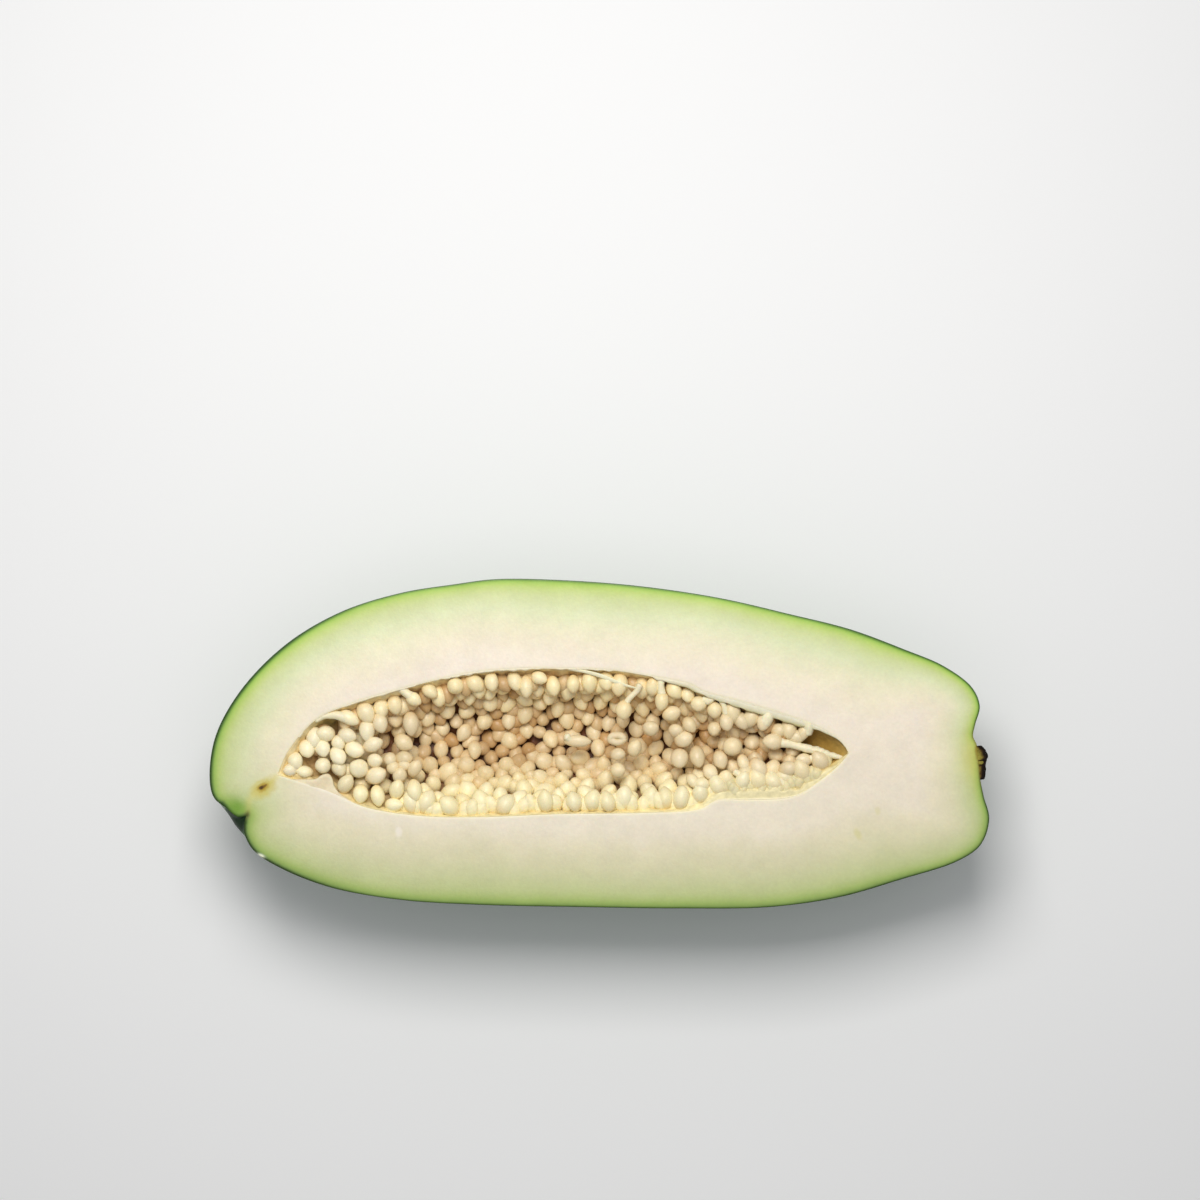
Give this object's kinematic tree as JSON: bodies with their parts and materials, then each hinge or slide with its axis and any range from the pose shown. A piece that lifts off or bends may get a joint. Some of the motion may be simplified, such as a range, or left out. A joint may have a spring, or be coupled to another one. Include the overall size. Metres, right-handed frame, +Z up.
{
  "type": "papaya half",
  "caption": "Green papaya cut in half along its length, with pale flesh, a thin green rind and a seed cavity lined with white seeds.",
  "frame": {"origin": "middle of the footprint, on the surface that the rounded back rests on", "axes": "+X towards the stem end, +Y across the cut face towards its more arched edge, +Z up out of the cut face"},
  "size_m": [0.2808, 0.1187, 0.0589],
  "materials": {
    "flesh": "moist pale fruit flesh inside a satin green rind",
    "seeds": "moist cream-white seeds",
    "stem_scar": "dry dark brown stalk scar"
  },
  "bodies": {
    "root": {"flesh": "flesh", "seeds": "seeds", "stem_scar": "stem_scar"}
  },
  "joints": []
}
